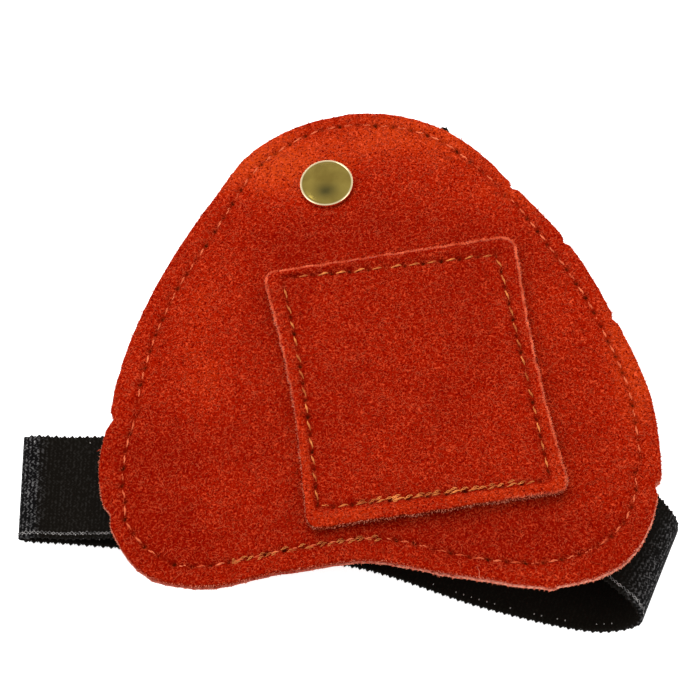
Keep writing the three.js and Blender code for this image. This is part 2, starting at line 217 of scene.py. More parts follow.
def round_table(rows, bearing):
    """The value at a bearing, on a smooth closed curve through rows of bearing and value."""
    bearing %= 360
    first = max(step for step, row in enumerate(rows) if row[0] <= bearing)

    def row_at(step):
        lap, index = divmod(first + step, len(rows))
        return rows[index][0] + 360 * lap, rows[index][1]

    before, start, end, after = (row_at(step) for step in (-1, 0, 1, 2))
    span = end[0] - start[0]
    slope_in = (end[1] - before[1]) / (end[0] - before[0]) * span
    slope_out = (after[1] - start[1]) / (after[0] - start[0]) * span
    return eased(start[1], slope_in, end[1], slope_out, (bearing - start[0]) / span)


def pad_edge(bearing):
    """A point of the pad's cut edge, in the pad's plane."""
    reach = round_table(EDGE, bearing)
    for snip_bearing, depth, spread in SNIPS:
        reach -= depth * max(0, 1 - abs(bearing % 360 - snip_bearing) / spread)
    angle = math.radians(bearing)
    around = Vector((math.cos(angle), math.sin(angle), 0))
    shears = 0.12 * noise.noise(around * 24) + 0.1 * noise.noise(around * 90)
    edge = Vector((reach * HALF_WIDTH * math.cos(angle), reach * HALF_LENGTH * math.sin(angle)))
    return edge + edge.normalized() * shears


def soft_spots(rows, x, y):
    """The sum of soft spots at a point of the pad's plane. A row gives a spot's place, its width and
    length as shares of half the pad's, and its amount in the middle."""
    across, along = x / HALF_WIDTH, y / HALF_LENGTH
    return sum(
        amount * math.exp(-(((across - right) / wide) ** 2 + ((along - up) / tall) ** 2))
        for right, up, wide, tall, amount in rows
    )


def pad_dome(x, y):
    """The height of the middle of the pad's thickness."""
    share = 1 - (x / HALF_WIDTH) ** 2 - (y / HALF_LENGTH) ** 2
    return DOME_RISE * (share - soft_spots(DENTS, x, y))


def front_top(x, y):
    """The height of the front layer's upper face, away from its seam."""
    return pad_dome(x, y) + LAYER_GAP / 2 + LAYER


def even_shares(points, spacing, per_space):
    """Even steps along a line through points, each as a share of the points' number, and the line's
    length. A whole number of spaces of about the spacing goes into it, with so many steps in each."""
    fine = len(points) - 1
    run = [0]
    for before, after in zip(points, points[1:]):
        run.append(run[-1] + (after - before).length)
    count = round(run[-1] / spacing) * per_space
    shares, place = [], 0
    for step in range(count + 1):
        target = run[-1] * step / count
        while place < fine - 1 and run[place + 1] < target:
            place += 1
        part = (target - run[place]) / (run[place + 1] - run[place])
        shares.append((place + part) / fine)
    return shares, run[-1]


def spaced_columns(outline, seam, per_stitch):
    """Columns at even steps along a seam: its point, the edge's point outside it and the stitch.
    outline and seam give a point for a share of the way round."""
    points = [seam(step / SEAM_POINTS) for step in range(SEAM_POINTS + 1)]
    shares, _ = even_shares(points, STITCH_PITCH, per_stitch)
    return [
        (seam(share), outline(share), step / per_stitch) for step, share in enumerate(shares[:-1])
    ]


def hole_depth(stitch):
    """How open the needle hole nearest to a place is: most have closed up again."""
    return 0.55 + 0.75 * noise.noise(Vector((round(stitch) * 3.7, 0.5, 0)))


def near_hole(off, stitch, spread):
    """How much a place lies in the nearest needle hole: most in its middle, if it is open."""
    along = (stitch - round(stitch)) * STITCH_PITCH
    return hole_depth(stitch) * math.exp(-(off**2 + along**2) / spread)


def bell(off, spread):
    """1 in the middle, falling softly to 0 at about twice the spread."""
    return math.exp(-((off / spread) ** 2))


def seam_relief(off, stitch, depth):
    """How a lockstitch seam shapes the suede: off is the distance inside the seam, in millimetres.
    It fades with the depth under the outer face."""
    groove = -0.26 * bell(off, 0.6)
    cushions = 0.16 * bell(abs(off) - 1.7, 0.9)
    puckers = -0.1 * math.cos(2 * math.pi * stitch) * bell(off, 1.8)
    hole = 0.55 * near_hole(off, stitch, 0.12)
    return (groove + cushions + puckers - hole) * max(0, 1 - 3 * depth)


# Painted light (+) and painted shade (-) on the nap, as spots like the dents
PAINTED_LIGHT_SPOTS = [
    (-0.35, 0.78, 0.3, 0.14, 0.8), (-0.62, 0.05, 0.14, 0.4, 0.4), (0.42, 0.66, 0.25, 0.16, 0.45),
    (0.92, -0.1, 0.1, 0.4, 0.5), (0.3, -0.78, 0.55, 0.1, -0.35), (-0.7, -0.42, 0.3, 0.12, -0.45),
    (0.08, 0.5, 0.3, 0.1, -0.4), (-0.25, 0.42, 0.2, 0.1, -0.35), (0.72, -0.1, 0.1, 0.35, -0.1),
    (-0.75, -0.72, 0.2, 0.16, -0.4), (0.1, 0.92, 0.4, 0.12, 0.7), (0.75, 0.0, 0.2, 0.5, 0.3),
]


INNER_ROWS = [0, 0.1, 0.22, 0.34, 0.46, 0.57, 0.67, 0.76, 0.84, 0.9, 0.95, 1]
SEAM_ROWS = [3.2, 2.6, 2.1, 1.7, 1.3, 1.0, 0.7, 0.45, 0.2, 0, -0.2, -0.45]
MARGIN_ROWS = [0.3, 0.45, 0.6, 0.74, 0.86, 0.95]

# The rows of a sheet, from the middle of its upper face over the edge to the middle of its lower one.
# Each is inside, at a share of the way to 4 mm short of the seam; at the seam, at a distance inside
# it; or outside, at a share of the way from seam to edge. Then its depth, from 0 to 1.
SHEET_ROWS = (
    [("inside", share, 0) for share in INNER_ROWS]
    + [("seam", off, 0) for off in SEAM_ROWS]
    + [("outside", share, 0) for share in MARGIN_ROWS]
    + [("outside", 0.985, 0.08), ("outside", 1, 0.24), ("outside", 1.01, 0.5),
       ("outside", 1, 0.8), ("outside", 0.985, 0.95)]
    + [("outside", 0.8, 1), ("outside", 0.4, 1), ("seam", 0, 1), ("inside", 1, 1),
       ("inside", 0.6, 1), ("inside", 0.3, 1), ("inside", 0, 1)]
)
SEAM_NEAR = 4
PAINTED_LIGHT_OFFSET = -0.1


def sewn_sheet(name, columns, middle, height, edge_look):
    """A closed sheet sewn along a seam, made from one long grid that is wrapped round it: its columns
    go round the piece and its rows are those of SHEET_ROWS. height gives a point's height. Needle
    holes and the seam's groove get painted shade. edge_look gives, at a share of the way from seam to
    edge and a depth, where the edge faces in a direction: how much of the pale core shows, more where
    painted light falls; how much painted shade darkens it; and how much painted light lightens the nap."""
    shape = bmesh.new()
    last = len(SHEET_ROWS) - 1
    bmesh.ops.create_grid(shape, x_segments=len(columns), y_segments=last, size=0.5)
    pale_core_and_light, painted_shade, painted_light = (shape.verts.layers.float.new(layer) for layer in ("pale_core_and_light", "painted_shade", "painted_light"))
    for vert in shape.verts:
        seam, edge, stitch = columns[round((vert.co.x + 0.5) * len(columns)) % len(columns)]
        way, share, depth = SHEET_ROWS[round((vert.co.y + 0.5) * last)]
        inward = (middle - seam).normalized()
        if way == "inside":
            point = middle.lerp(seam + inward * SEAM_NEAR, share)
        elif way == "seam":
            point = seam + inward * share
        else:
            point = seam.lerp(edge, share)
        off = (point - seam).dot(inward)
        vert.co = (point.x, point.y, height(point.x, point.y, off, stitch, depth))
        # Painted shade in the open needle holes and along the seam's groove
        vert[painted_shade] = 1.3 * near_hole(off, stitch, 0.14) + 0.18 * bell(off, 0.5)
        # Painted light and shade on the nap, in soft spots and an even offset
        vert[painted_light] = PAINTED_LIGHT_OFFSET + soft_spots(PAINTED_LIGHT_SPOTS, point.x, point.y)
        if way == "outside":
            # Outside the seam: the pale core shown partly by painted light, painted shade, and painted
            # light on the margin
            pale, edge_shade, painted_margin_light = edge_look((edge - seam).normalized(), share, depth)
            vert[pale_core_and_light] = pale
            vert[painted_shade] = max(vert[painted_shade], edge_shade)
            vert[painted_light] += painted_margin_light * min(1, 3 * share)
    bmesh.ops.remove_doubles(shape, verts=shape.verts, dist=1e-5)
    bmesh.ops.recalc_face_normals(shape, faces=shape.faces)
    return to_mesh(name, shape)


PAD_MIDDLE = Vector((0, 0))


def pad_outline(share):
    return pad_edge(360 * share)


def perimeter_seam(share):
    bearing = 360 * share
    edge = pad_edge(bearing)
    wander = 0.12 * noise.noise(Vector((share * 60, 5, 0)))
    return edge - edge.normalized() * (round_table(SEAM_INSET, bearing) + wander)


def pressed_rim(off):
    """How far the two layers' inner faces come together outside the seam."""
    return 0.13 * clamp((-off - 0.5) / 2)


def front_height(x, y, off, stitch, depth):
    relief = seam_relief(off, stitch, depth)
    ripple = 0.15 * noise.noise(Vector((x, y, 0)) / 9) * (1 - depth)
    return front_top(x, y) + relief + ripple - depth * (LAYER - 0.05 + pressed_rim(off))


# How much of the pale core the cut edge shows where it faces in a direction, in degrees: the core is
# the leather's own, and how much of it shows by direction is painted light
PALE_CORE_AND_LIGHT = [
    (0, 0.35), (40, 0.15), (90, 0.1), (140, 0.25), (180, 0.7), (205, 0.75), (228, 0.4), (255, 0.3),
    (278, 0.6), (295, 0.95), (325, 1.0), (345, 0.6),
]


def paleness(outwards):
    return round_table(PALE_CORE_AND_LIGHT, math.degrees(math.atan2(outwards.y, outwards.x)))


def front_edge_look(outwards, share, depth):
    """The nap of the upper layer reaches down over its cut edge, with painted shade along the lower
    side wherever little of the pale core shows; painted light lightens its margin.
    """
    # Painted light on the faces of the margin
    if depth == 0 or depth == 1:
        return 0, 0, 0.1
    pale = paleness(outwards) ** 2
    return 0.5 * pale * max(0, 2 * depth - 1.2), 0.3 * (1 - pale), 0.1


# Shades of the nap: pits; dark and light shades mixed by its random lie and by painted light and shade;
# a painted highlight; fibre tips; the pale core
NAP_PITS = (0.135, 0.0009, 0.0001)
NAP_DARK = (0.19, 0.0032, 0.0003)
NAP_LIGHT = (0.34, 0.0095, 0.0005)
NAP_PAINTED_HIGHLIGHT = (0.6, 0.08, 0.01)
NAP_TIPS = (0.63, 0.066, 0.02)
PALE_CORE = (0.93, 0.4, 0.28)
# The colour of painted shade, for needle holes, seam grooves and shaded edges
PAINTED_SHADE_COLOUR = (0.045, 0.005, 0.001)
CURL_WIDTH = 0.08


class FinishNodes:
    """The nodes that make one finish. A value is a number, a colour or another node's output."""

    def __init__(self, finish):
        self.tree = finish.node_tree
        self.shader = self.tree.nodes["Principled BSDF"]
        self.where = self.tree.nodes.new("ShaderNodeTexCoord").outputs["Object"]

    def feed(self, sockets, *values):
        for socket, value in zip(sockets, values):
            if isinstance(value, tuple):
                socket.default_value = (*value, 1)
            elif isinstance(value, (int, float)):
                socket.default_value = value
            else:
                self.tree.links.new(value, socket)

    def attribute(self, layer):
        node = self.tree.nodes.new("ShaderNodeAttribute")
        node.attribute_name = layer
        return node.outputs["Fac"]

    def mottle(self, scale, detail=2):
        node = self.tree.nodes.new("ShaderNodeTexNoise")
        sockets = [node.inputs[name] for name in ("Vector", "Scale", "Detail")]
        self.feed(sockets, self.where, scale, detail)
        return node.outputs[0]

    def sum(self, operation, first, second=0.0):
        node = self.tree.nodes.new("ShaderNodeMath")
        node.operation = operation
        self.feed(node.inputs, first, second)
        return node.outputs[0]

    def times(self, first, second):
        return self.sum("MULTIPLY", first, second)

    def fit(self, value, low, high, to_low=0.0, to_high=1.0):
        node = self.tree.nodes.new("ShaderNodeMapRange")
        self.feed(node.inputs, value, low, high, to_low, to_high)
        return node.outputs[0]

    def blend(self, share, first, second):
        node = self.tree.nodes.new("ShaderNodeMix")
        node.data_type = "RGBA"
        self.feed((node.inputs[0], node.inputs[6], node.inputs[7]), share, first, second)
        return node.outputs[2]

    def colour(self, value):
        self.feed([self.shader.inputs["Base Color"]], value)

    def bump(self, height, distance, strength=1.0):
        node = self.tree.nodes.new("ShaderNodeBump")
        sockets = [node.inputs[name] for name in ("Height", "Distance", "Strength")]
        self.feed(sockets, height, distance, strength)
        self.feed([self.shader.inputs["Normal"]], node.outputs["Normal"])


def suede_finish(name):
    """Brushed suede: a nap of fine curled fibres whose tone varies at random and with painted light and
    shade, with painted shade in needle holes, seam grooves and shaded edges, and the paler core of the
    leather on the cut edge, shown more where painted light falls."""
    finish = new_finish(name, NAP_DARK, 1.0, Specular_IOR_Level=0.0)
    nodes = FinishNodes(finish)
    fit, blend, mottle = nodes.fit, nodes.blend, nodes.mottle

    def curls(scale):
        """Fine curved lines, where a smooth noise passes its middle value."""
        off_line = nodes.sum("ABSOLUTE", nodes.sum("SUBTRACT", mottle(scale, 0), 0.5))
        return fit(off_line, CURL_WIDTH, CURL_WIDTH * 0.2)

    specks = mottle(3000, 0)
    nap_lie_and_light = nodes.sum(
        "ADD", fit(mottle(60), 0.3, 0.7, -0.16, 0.16), fit(mottle(330), 0.3, 0.7, -0.08, 0.08)
    )
    # The nap's random lie plus painted light and shade from the sheet's attribute; tips show more where
    # it is lit
    nap_lie_and_light = nodes.sum("ADD", nap_lie_and_light, fit(nodes.attribute("painted_light"), -1, 1, -0.6, 1.4))
    colour = blend(fit(nap_lie_and_light, 0, 1), NAP_DARK, NAP_LIGHT)
    # A painted highlight: more orange where the painted light is strongest
    colour = blend(fit(nap_lie_and_light, 0.6, 1.3, 0, 0.4), colour, NAP_PAINTED_HIGHLIGHT)
    colour = blend(fit(specks, 0.48, 0.3), colour, NAP_PITS)
    tips = nodes.sum(
        "MAXIMUM",
        nodes.times(curls(1600), fit(mottle(2000, 0), 0.46, 0.62)),
        nodes.times(curls(2300), fit(mottle(2500, 0), 0.52, 0.36)),
    )
    colour = blend(nodes.times(tips, fit(nap_lie_and_light, 0, 1, 0.5, 1)), colour, NAP_TIPS)
    # The pale core on the cut edge, shown more or less by painted light
    core = nodes.times(nodes.attribute("pale_core_and_light"), fit(mottle(1500, 1), 0.35, 0.6, 0.15, 1))
    colour = blend(core, colour, PALE_CORE)
    # Painted shade darkens the colour where the sheet's attribute says so
    nodes.colour(blend(fit(nodes.attribute("painted_shade"), 0, 1, 0, 0.9), colour, PAINTED_SHADE_COLOUR))
    nodes.bump(nodes.sum("ADD", specks, nodes.times(tips, 0.5)), 0.0002, 0.5)
    return finish


def ground_of(mesh):
    """The surface of a mesh, to find the places of fibres on it."""
    return BVHTree.FromPolygons(
        [vert.co.copy() for vert in mesh.vertices],
        [tuple(face.vertices) for face in mesh.polygons],
    )


ORANGE_SUEDE = suede_finish("suede_orange")
pad_columns = spaced_columns(pad_outline, perimeter_seam, 8)
front_mesh = sewn_sheet("front_suede", pad_columns, PAD_MIDDLE, front_height, front_edge_look)
front_ground = ground_of(front_mesh)
front_suede = add_piece("front_suede", front_mesh, ON_PAD, ORANGE_SUEDE)
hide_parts("front_layer")
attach(front_suede, "root")


# ---- Back layer ----------------------------------------------------------------------------------
# The lower piece of the same suede, sewn to the front one round the edge and trimmed with it after
# that. Its nap faces the hand.


def back_under(x, y):
    """The height of the back layer's lower face, away from its seam."""
    return pad_dome(x, y) - LAYER_GAP / 2 - LAYER


def back_height(x, y, off, stitch, depth):
    relief = seam_relief(off, stitch, depth)
    ripple = 0.15 * noise.noise(Vector((x, y, 0)) / 9 + Vector((0, 0, 9))) * (1 - depth)
    return back_under(x, y) - relief - ripple + depth * (LAYER - 0.05 + pressed_rim(off))


def back_edge_look(outwards, share, depth):
    """The cut edge of the lower layer shows the pale core most, at its bottom, and more where painted
    light falls; painted shade darkens it towards its top where little of the core shows.
    """
    if depth == 0 or depth == 1:
        return 0, 0, 0
    pale = paleness(outwards)
    return pale * max(0, 1.1 - 0.5 * depth), 0.25 * depth * (1 - pale), 0


def back_outline(share):
    """The back layer's edge, cut together with the front one's, wanders a little off it."""
    edge = pad_outline(share)
    frays = 0.14 * noise.noise(edge.to_3d() / 5) + 0.12 * noise.noise(edge.to_3d() / 1.1)
    return edge + edge.normalized() * frays


back_columns = spaced_columns(back_outline, perimeter_seam, 4)
back_suede = add_piece(
    "back_suede",
    sewn_sheet("back_suede", back_columns, PAD_MIDDLE, back_height, back_edge_look),
    ON_PAD,
    ORANGE_SUEDE,
)
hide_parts("back_layer")
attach(back_suede, "root")


# ---- Perimeter seam ------------------------------------------------------------------------------
# Orange-gold thread of two twisted plies, sewn through both layers in a lockstitch. Each stitch comes
# up through one needle hole and goes down the next. Along the lower edge it was sewn over again to
# lock the ends, so the stitches lie double there.

PLY_THICK = 0.22
TACKING_PLY_THICK = 0.152
PLY_POINTS = 9
PLY_TWIST = 2.2 * math.pi
HOLE_REACH = 0.9


def stitch_plies(start, end, ground, up, sit, spread):
    """The paths of two twisted plies from one needle hole to the next. sit is how far the thread's
    middle stands out of the suede, whose height ground gives and whose outside up gives (1 or -1).
    spread is how far the plies lie from the thread's middle."""
    plies = []
    run = end - start
    side = Vector((-run.y, run.x)).normalized()
    for ply in (0, math.pi):
        path = []
        for step in range(PLY_POINTS):
            share = step / (PLY_POINTS - 1)
            turn = ply + PLY_TWIST * share
            flat = start + run * share + side * spread * math.cos(turn)
            height = ground(flat.x, flat.y) + up * (sit - HOLE_REACH * abs(2 * share - 1) ** 3)
            path.append(Vector((flat.x, flat.y, height + 0.1 * math.sin(turn))))
        plies.append(path)
    return plies


def add_thread(name, paths, thickness, place, finish, taper=1.0, resolution=1):
    """A piece of round thread or fibre along many short paths, tapered towards their ends."""
    line = bpy.data.curves.new(name, "CURVE")
    line.dimensions = "3D"
    line.bevel_depth = thickness / 2
    line.bevel_resolution = resolution
    line.use_fill_caps = True
    for path in paths:
        spline = line.splines.new("POLY")
        spline.points.add(len(path) - 1)
        for point, spot in zip(spline.points, path):
            point.co = (*spot, 1)
        spline.points[0].radius = spline.points[-1].radius = taper
    carrier = bpy.data.objects.new(name, line)
    mesh = bpy.data.meshes.new_from_object(carrier)
    bpy.data.objects.remove(carrier)
    mesh.name = name
    mesh.polygons.foreach_set("use_smooth", [True] * len(mesh.polygons))
    return add_piece(name, mesh, place, finish)


def thread_finish(name, colour, worn, scale):
    """Spun thread or loose fibre: brighter and duller stretches, with no gloss."""
    finish = new_finish(name, colour, 0.9, Specular_IOR_Level=0.01)
    nodes = FinishNodes(finish)
    stretches = nodes.mottle(scale)
    nodes.colour(nodes.blend(nodes.fit(stretches, 0.3, 0.7), worn, colour))
    nodes.bump(stretches, 0.00008)
    return finish


GOLD_THREAD = thread_finish("thread_gold", (0.78, 0.26, 0.07), (0.3, 0.04, 0.01), 480)
ORANGE_THREAD = thread_finish("thread_orange", (0.8, 0.19, 0.08), (0.45, 0.05, 0.015), 300)

chance = random.Random(4)


def stitches(columns):
    """The pairs of needle holes that the stitches of a seam go between."""
    holes = [seam for seam, _, stitch in columns if abs(stitch - round(stitch)) < 1e-6]
    return list(zip(holes, holes[1:] + holes[:1]))


def seam_paths(pairs, ground, up, slant=0.14, sit=-0.22, spread=0.1):
    """The plies of stitches between pairs of needle holes. Some have sunk deeper than others."""
    paths = []
    for start, end in pairs:
        run = (end - start).normalized()
        side = Vector((-run.y, run.x)) * slant * (0.4 + 1.2 * chance.random())
        first = start + run * (0.4 + 0.25 * chance.random()) - side
        last = end - run * (0.4 + 0.25 * chance.random()) + side
        paths += stitch_plies(first, last, ground, up, sit + 0.14 * chance.random(), spread)
    return paths


def doubled(pairs, covers, rows):
    """The stitches sewn over others where covers says so. Each row of them is moved along by a share
    of a stitch and outwards by a distance, and every stitch strays a little more."""
    again = []
    for number, (start, end) in enumerate(pairs):
        if covers(start):
            after = pairs[(number + 1) % len(pairs)][1]
            run = (end - start).normalized()
            for shift, out in rows:
                side = Vector((run.y, -run.x)) * (out + 0.3 * (chance.random() - 0.5))
                slip = shift + 0.3 * (chance.random() - 0.5)
                again.append((start.lerp(end, slip) + side, end.lerp(after, slip - 0.15) + side))
    return again


def knot(pairs, place):
    """A few crossed ends of thread over the stitch nearest to a place."""
    start, end = min(pairs, key=lambda pair: (pair[0] - place).length)
    strays = [Vector((0.35 * (step % 2), 0.3 * (step % 3) - 0.3)) for step in range(4)]
    return [(start + stray, start.lerp(end, 0.45) + stray) for stray in strays]


hole_pairs = stitches(pad_columns)
perimeter_double = doubled(
    hole_pairs,
    lambda spot: -30 < spot.x < -3 and spot.y < -20,
    [(0.1, 0.4), (0.45, -0.3), (0.75, 0.15)],
)
perimeter_double += knot(hole_pairs, Vector((-28.2, -41.6)))
perimeter_thread = add_thread(
    "perimeter_thread",
    seam_paths(hole_pairs, front_top, 1) + seam_paths(hole_pairs, back_under, -1),
    PLY_THICK,
    ON_PAD,
    ORANGE_THREAD,
)
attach(perimeter_thread, "root")
tacking_thread = add_thread(
    "tacking_thread",
    seam_paths(perimeter_double, front_top, 1, 0.35, -0.05, 0.15),
    TACKING_PLY_THICK,
    ON_PAD,
    GOLD_THREAD,
)
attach(tacking_thread, "root")


# ---- Patch ---------------------------------------------------------------------------------------
# A squarish patch of the same suede where the bowstring bears, sewn on the front inside its rim. The
# seam pulls it down, and the rim outside stands up and shows its fuzzy cut edge.

PATCH_WIDTH = 47.3
PATCH_LENGTH = 52.0
PATCH_THICK = 1.4
PATCH_TURN = math.radians(9.7)
PATCH_CORNER = 2.4
PATCH_SEAM_CORNER = 0.7
PATCH_RIM_LIFT = 0.5
PATCH_MIDDLE = Vector((0.125 * HALF_WIDTH, -0.174 * HALF_LENGTH))
CLEARANCE = 0.3

# The corners of the cut edge, as shares of half the width and length, and how far the side from each
# corner to the next bows out, as a share of its length; then the same of the seam, in millimetres
PATCH_CORNERS = [(1.015, 1.008), (-1.023, 1.054), (-1.04, -0.985), (1.04, -1.05)]
PATCH_BOWS = [-0.007, -0.028, 0.004, -0.022]
PATCH_SEAM = [(20.1, 22.9), (-20.6, 25.9), (-21.9, -21.8), (21.3, -24.4)]
PATCH_SEAM_BOWS = [-0.01, -0.017, 0.006, 0.002]


def on_patch(x, y):
    """A point given in the patch's own directions, in the pad's plane."""
    return PATCH_MIDDLE + Matrix.Rotation(PATCH_TURN, 2) @ Vector((x, y))


def round_corners(corners, radius, bows, share):
    """A point on a four-sided outline with round corners, for a share of the way round."""
    side = int(share * 4) % 4
    part = share * 4 - int(share * 4)
    before, start = Vector(corners[side - 1]), Vector(corners[side])
    end, after = Vector(corners[(side + 1) % 4]), Vector(corners[(side + 2) % 4])
    length = (end - start).length
    reach = radius * 1.3
    turn = reach / length
    if turn <= part <= 1 - turn:
        point = start.lerp(end, part)
    else:
        if part < turn:
            corner, arrive, leave, swing = start, before, end, 0.5 + part / turn / 2
        else:
            corner, arrive, leave, swing = end, start, after, (part - 1 + turn) / turn / 2
        first = corner + (arrive - corner).normalized() * reach
        last = corner + (leave - corner).normalized() * reach
        point = first.lerp(corner, swing).lerp(corner.lerp(last, swing), swing)
    run = end - start
    return point + Vector((run.y, -run.x)) * bows[side] * math.sin(math.pi * part)


def patch_outline(share):
    half = [(x * PATCH_WIDTH / 2, y * PATCH_LENGTH / 2) for x, y in PATCH_CORNERS]
    point = round_corners(half, PATCH_CORNER, PATCH_BOWS, share)
    shears = 0.24 * noise.noise(Vector((*point, 3)) / 3)
    shears += 0.18 * noise.noise(Vector((*point, 7)) / 1.1)
    return on_patch(*(point + point.normalized() * shears))


def patch_seam(share):
    return on_patch(*round_corners(PATCH_SEAM, PATCH_SEAM_CORNER, PATCH_SEAM_BOWS, share))


def patch_top(x, y):
    """The height of the patch's upper face, away from its seam."""
    return front_top(x, y) + CLEARANCE + PATCH_THICK


def patch_height(x, y, off, stitch, depth):
    lower_side = 1 + 0.7 * clamp((PATCH_MIDDLE.y - 19 - y) / 4)
    lift = PATCH_RIM_LIFT * min(1, max(0, -off - 0.4) / 2.2) * lower_side
    crown = 0.1 * bell(off + 1.6, 0.9) * (1 - depth)
    relief = seam_relief(off, stitch, depth)
    ripple = 0.12 * noise.noise(Vector((x, y, 30)) / 8) * (1 - depth)
    return patch_top(x, y) + lift + relief + crown + ripple - depth * PATCH_THICK


def patch_edge_look(outwards, share, depth):
    """The fuzzy rim of the patch shows its pale core along its top and sides, made paler there by
    painted light; painted shade darkens its lower side and its underside, and painted light and shade
    make its margin darker along the top and lighter along the lower side.
    """
    # Painted light and shade on the margin, by the way it faces
    painted_margin_light = 0.2 - 0.35 * outwards.y
    pale = clamp(0.75 + 0.9 * outwards.y, 0, 0.9)
    if depth == 0:
        fray = 0.18 + 0.3 * abs(outwards.y)
        return fray * pale * clamp((share - 0.9) / 0.08), 0, painted_margin_light
    # Painted shade on the patch's underside
    if depth == 1:
        return 0, 0.5, 0
    shade = max(0.1, 0.45 - 0.3 * outwards.y) * min(1, 4 * depth)
    return pale * max(0, 1 - 1.5 * depth), shade, painted_margin_light


patch_columns = spaced_columns(patch_outline, patch_seam, 8)
patch_mesh = sewn_sheet("patch_suede", patch_columns, PATCH_MIDDLE, patch_height, patch_edge_look)
patch_ground = ground_of(patch_mesh)
patch_suede = add_piece("patch_suede", patch_mesh, ON_PAD, ORANGE_SUEDE)
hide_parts("patch")
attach(patch_suede, "root")


# ---- Patch seam ----------------------------------------------------------------------------------
# The same orange-gold thread, in a lockstitch round the patch. The lower side is sewn twice, so its
# stitches cross and lie thick.

PATCH_PLY_THICK = 0.2
patch_pairs = stitches(patch_columns)
patch_double = doubled(
    patch_pairs,
    lambda spot: -7 < spot.x < 25 and spot.y < -28 + 0.1 * spot.x,
    [(0.12, -0.5), (0.55, -0.25)],
)
patch_double += knot(patch_pairs, Vector((1.8, -31.0)))
patch_thread = add_thread(
    "patch_thread",
    seam_paths(patch_pairs, patch_top, 1, 0.3, -0.08)
    + seam_paths(patch_double, patch_top, 1, 0.3, 0.0, 0.16),
    PATCH_PLY_THICK,
    ON_PAD,
    GOLD_THREAD,
)
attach(patch_thread, "root")


# ---- Nap -----------------------------------------------------------------------------------------
# The fibres that stand out of the brushed suede: short curled tufts lying on both faces that show,
# and a finer fuzz along the cut edges. A loose fibre hangs from the seam near the lower edge.

NAP_THICK = 0.15
FUZZ_THICK = 0.1
PATCH_RIM_THICK = 0.13
PAD_RIM_THICK = 0.12
FIBRE_TAPER = 0.35


def tufts(ground, count, half_width, half_length, middle, skip):
    """The paths of curled tufts on the upper face of a piece, spread evenly over a rectangle."""
    paths = []
    while len(paths) < count:
        x = middle.x + half_width * (2 * chance.random() - 1)
        y = middle.y + half_length * (2 * chance.random() - 1)
        spot, normal, _, _ = ground.ray_cast(Vector((x, y, 50)), Vector((0, 0, -1)))
        if spot is None or normal.z < 0.8 or skip(spot):
            continue
        heading = 2 * math.pi * chance.random()
        curl = 2.2 * (chance.random() - 0.5)
        length = 0.4 + 0.7 * chance.random() ** 2
        path = []
        for rise, bend in ((-0.03, 0), (0.11, curl), (0.05, curl)):
            path.append(spot + normal * rise)
            heading += bend
            spot = spot + Vector((math.cos(heading), math.sin(heading), 0)) * length / 2
            spot.z -= (normal.x * math.cos(heading) + normal.y * math.sin(heading)) * length / 2
        paths.append(path)
    return paths


def under_patch(spot):
    """Whether a point of the pad is hidden by the patch."""
    near = Matrix.Rotation(-PATCH_TURN, 2) @ (spot.to_2d() - PATCH_MIDDLE)
    return abs(near.x) < PATCH_WIDTH / 2 - 1.15 and abs(near.y) < PATCH_LENGTH / 2 - 0.5


def on_margin(height, spot, depth):
    """A point of a sheet outside its seam, at a depth."""
    return Vector((spot.x, spot.y, height(spot.x, spot.y, -3, 0.5, depth)))


def rim_curls(columns, height, count, pale, inset, depths):
    """The paths of short curled fibres that lie along a rim, mostly where pale says that it is pale.
    They reach in from the edge by up to inset, at a depth between two."""
    paths = []
    while len(paths) < count:
        share = chance.random() * len(columns)
        seam, edge, _ = columns[int(share)]
        outwards = (edge - seam).normalized()
        if pale(outwards) < chance.random() * 0.8:
            continue
        along = Matrix.Rotation(math.pi / 2 + 1.5 * (chance.random() - 0.5), 2) @ outwards
        length = 0.4 + 0.5 * chance.random()
        start = 0.02 + inset * chance.random()
        depth = depths[0] + (depths[1] - depths[0]) * chance.random()
        bow = 2 * inset * (chance.random() - 0.5)
        path = []
        for step in (-0.5, 0, 0.5):
            spot = edge - outwards * (start + (bow if step == 0 else 0)) + along * length * step
            lift = 0.08 if step == 0 else 0.02
            path.append(on_margin(height, spot, depth) + Vector((0, 0, lift)))
        paths.append(path)
    return paths


def edge_fuzz(columns, height, count, reach):
    """The paths of fine fibres that stand out of a cut edge."""
    paths = []
    for number in range(count):
        share = number / count * len(columns)
        first, after = columns[int(share)], columns[(int(share) + 1) % len(columns)]
        edge = first[1].lerp(after[1], share - int(share))
        outwards = (first[1] - first[0]).normalized()
        depth = 0.1 + 0.7 * chance.random()
        turn = Matrix.Rotation(1.6 * (chance.random() - 0.5), 2)
        heading = (turn @ outwards).to_3d()
        heading.z = 0.9 * (chance.random() - 0.4)
        root = on_margin(height, edge, depth) - outwards.to_3d() * 0.15
        length = reach * (0.4 + 0.8 * chance.random() ** 2)
        bent = Vector((-heading.y, heading.x, 0)) * 0.4 * (chance.random() - 0.5)
        paths.append([root, root + heading * length * 0.5, root + (heading + bent) * length])
    return paths


NAP_FIBRE = thread_finish("suede_fibre", (0.52, 0.06, 0.022), (0.33, 0.016, 0.003), 420)
PALE_FIBRE = thread_finish("suede_fibre_pale", (0.88, 0.32, 0.2), (0.55, 0.09, 0.04), 420)
RIM_FIBRE = thread_finish("suede_fibre_rim", (0.74, 0.14, 0.06), (0.42, 0.035, 0.01), 420)

# The loose fibre's points: across, along and how far they stand out of the suede, in millimetres
LOOSE_FIBRE = [(17.9, -45.0, 0.1), (18.3, -46.0, 0.3), (18.2, -46.9, 0.1), (18.8, -47.6, -0.5)]
loose_fibre = [Vector((x, y, front_top(x, y) + lift)) for x, y, lift in LOOSE_FIBRE]

